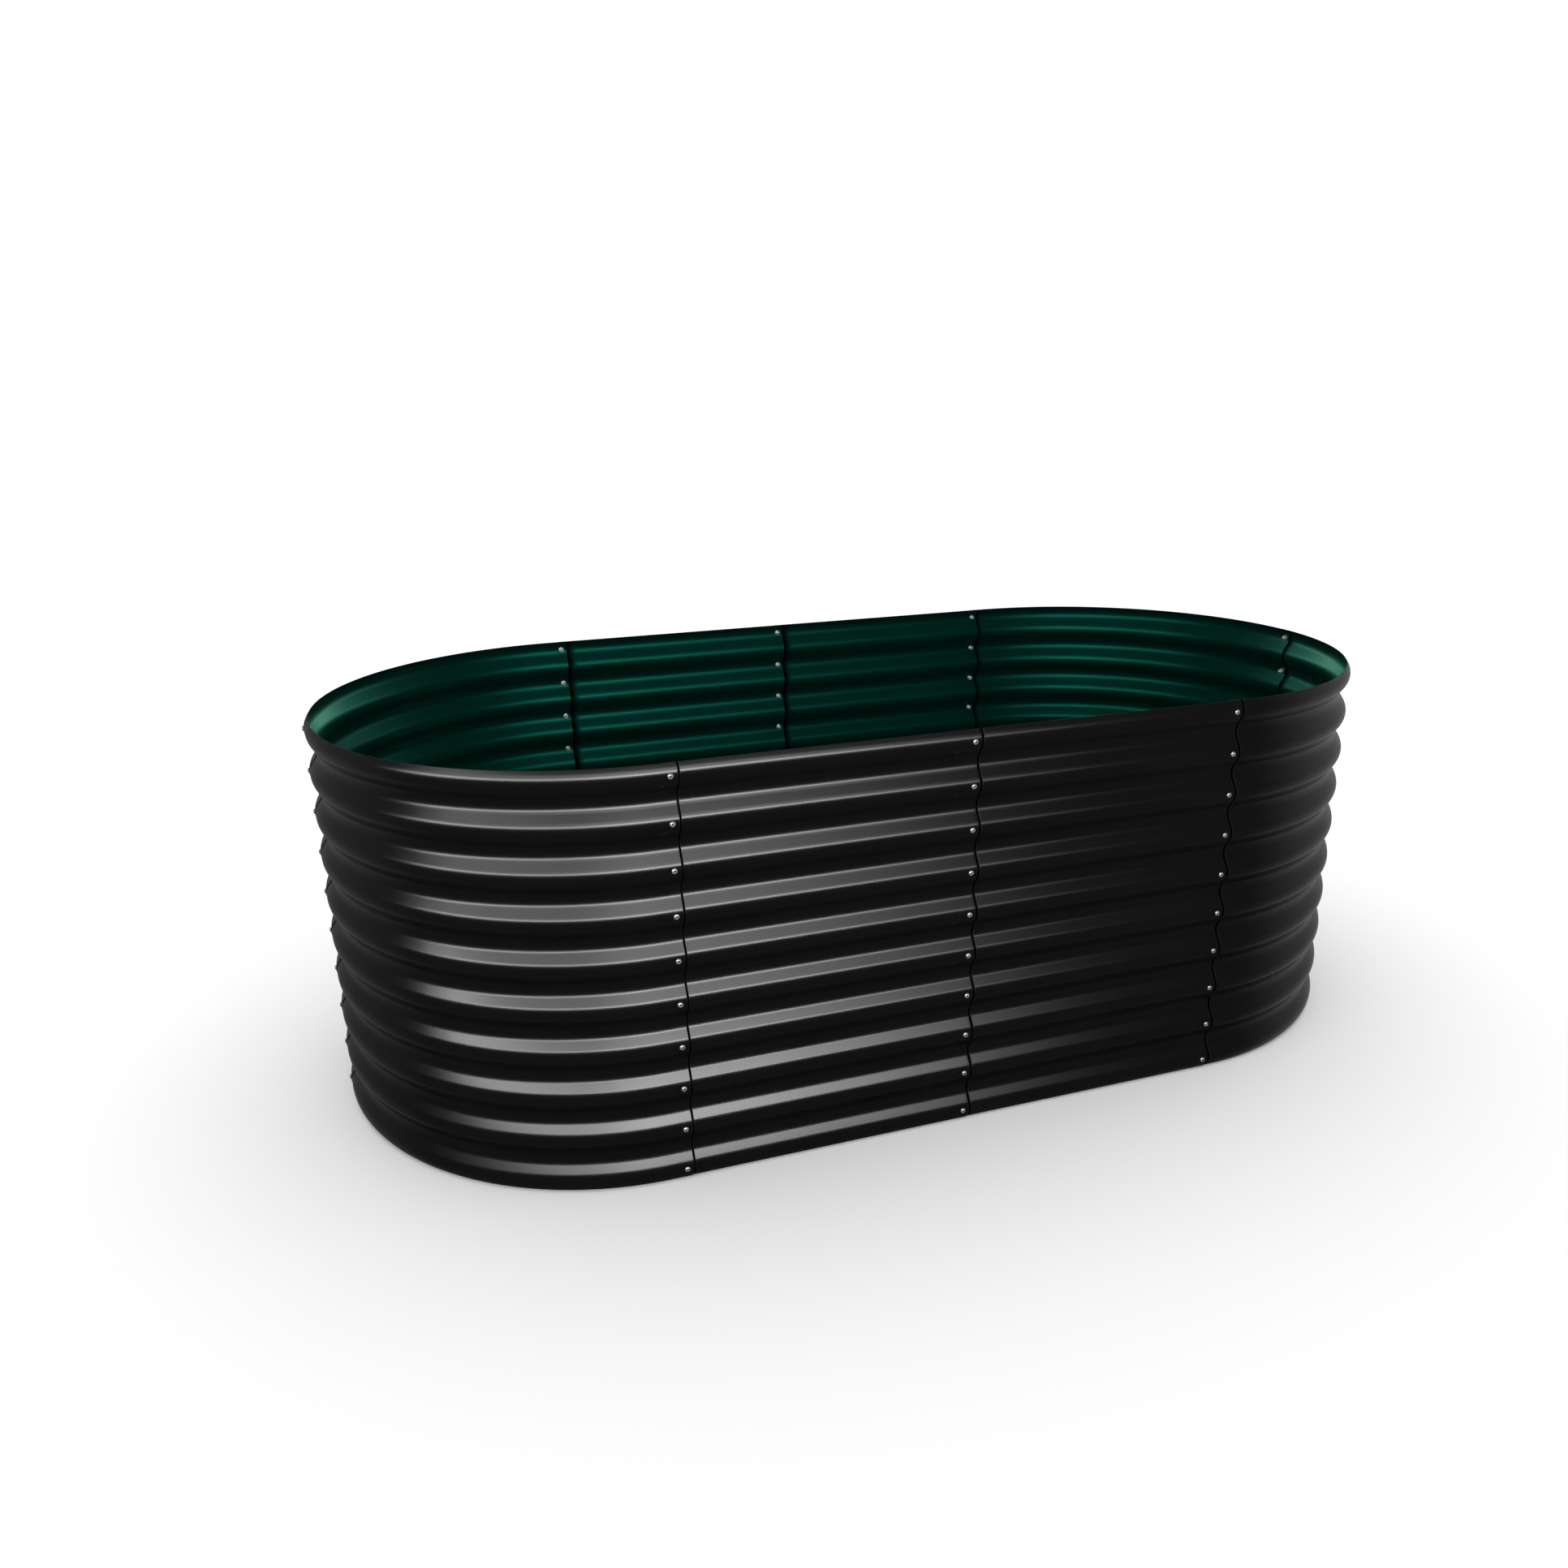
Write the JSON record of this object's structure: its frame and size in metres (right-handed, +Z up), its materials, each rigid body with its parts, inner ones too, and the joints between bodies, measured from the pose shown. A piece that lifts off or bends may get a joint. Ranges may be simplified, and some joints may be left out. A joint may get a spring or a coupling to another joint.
{
  "type": "raised garden bed",
  "caption": "Oval open-bottomed raised garden bed of lapped corrugated steel panels, bolted along each seam and tied across by steel rods.",
  "frame": {"origin": "on the ground at the middle of the bed's length and width", "axes": "+X along the bed, +Y from the front wall to the back wall, +Z up"},
  "size_m": [1.717, 0.839, 0.5985],
  "materials": {
    "coated_steel": "satin black coating outside, glossy dark green back coat inside",
    "zinc_fasteners": "bright zinc plate",
    "tie_rod_steel": "dull galvanised"
  },
  "bodies": {
    "root": {"bolts_back_left": "zinc_fasteners", "bolts_back_middle": "zinc_fasteners", "bolts_back_right": "zinc_fasteners", "bolts_front_left": "zinc_fasteners", "bolts_front_middle": "zinc_fasteners", "bolts_front_right": "zinc_fasteners", "bolts_left_end": "zinc_fasteners", "bolts_right_end": "zinc_fasteners", "corner_panel_back_left": "coated_steel", "corner_panel_back_right": "coated_steel", "corner_panel_front_left": "coated_steel", "corner_panel_front_right": "coated_steel", "nuts_back_left": "zinc_fasteners", "nuts_back_middle": "zinc_fasteners", "nuts_back_right": "zinc_fasteners", "nuts_front_left": "zinc_fasteners", "nuts_front_middle": "zinc_fasteners", "nuts_front_right": "zinc_fasteners", "nuts_left_end": "zinc_fasteners", "nuts_right_end": "zinc_fasteners", "side_panel_back_left": "coated_steel", "side_panel_back_right": "coated_steel", "side_panel_front_left": "coated_steel", "side_panel_front_right": "coated_steel", "tie_rod_left": "tie_rod_steel", "tie_rod_middle": "tie_rod_steel", "tie_rod_right": "tie_rod_steel", "washers_back_left": "zinc_fasteners", "washers_back_middle": "zinc_fasteners", "washers_back_right": "zinc_fasteners", "washers_front_left": "zinc_fasteners", "washers_front_middle": "zinc_fasteners", "washers_front_right": "zinc_fasteners", "washers_left_end": "zinc_fasteners", "washers_right_end": "zinc_fasteners"}
  },
  "joints": []
}
